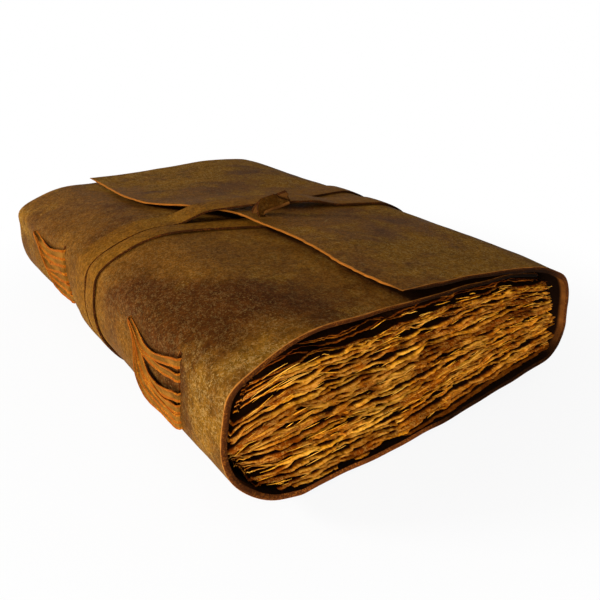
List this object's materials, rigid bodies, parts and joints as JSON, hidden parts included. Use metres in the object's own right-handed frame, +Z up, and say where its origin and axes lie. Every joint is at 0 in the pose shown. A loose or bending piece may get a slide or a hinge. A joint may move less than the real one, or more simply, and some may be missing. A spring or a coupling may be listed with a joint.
{
  "type": "leather wrap journal",
  "caption": "Handmade leather journal with deckle-edged pages, a wrap-over flap, laced spine and a long flat strap wound round it.",
  "frame": {"origin": "middle of the face that the closed book rests on", "axes": "+X from the spine towards the fore edge, +Y from the tail of the pages towards the head, +Z up through the front cover"},
  "size_m": [0.193, 0.25, 0.084],
  "materials": {
    "cover_leather": "oiled, waxy, scuffed",
    "deckle_paper": "rough, torn edges",
    "strap_leather": "smooth, waxy, raw edges",
    "thong_leather": "suede, raw edges"
  },
  "bodies": {
    "root": {"leather_cover": "cover_leather", "page_block": "deckle_paper", "wrap_strap": "strap_leather", "tail_thong_1": "thong_leather", "tail_thong_2": "thong_leather", "tail_thong_3": "thong_leather", "tail_thong_4": "thong_leather", "tail_thong_5": "thong_leather", "tail_thong_6": "thong_leather", "head_thong_1": "thong_leather", "head_thong_2": "thong_leather", "head_thong_3": "thong_leather", "head_thong_4": "thong_leather", "head_thong_5": "thong_leather", "head_thong_6": "thong_leather"}
  },
  "joints": []
}
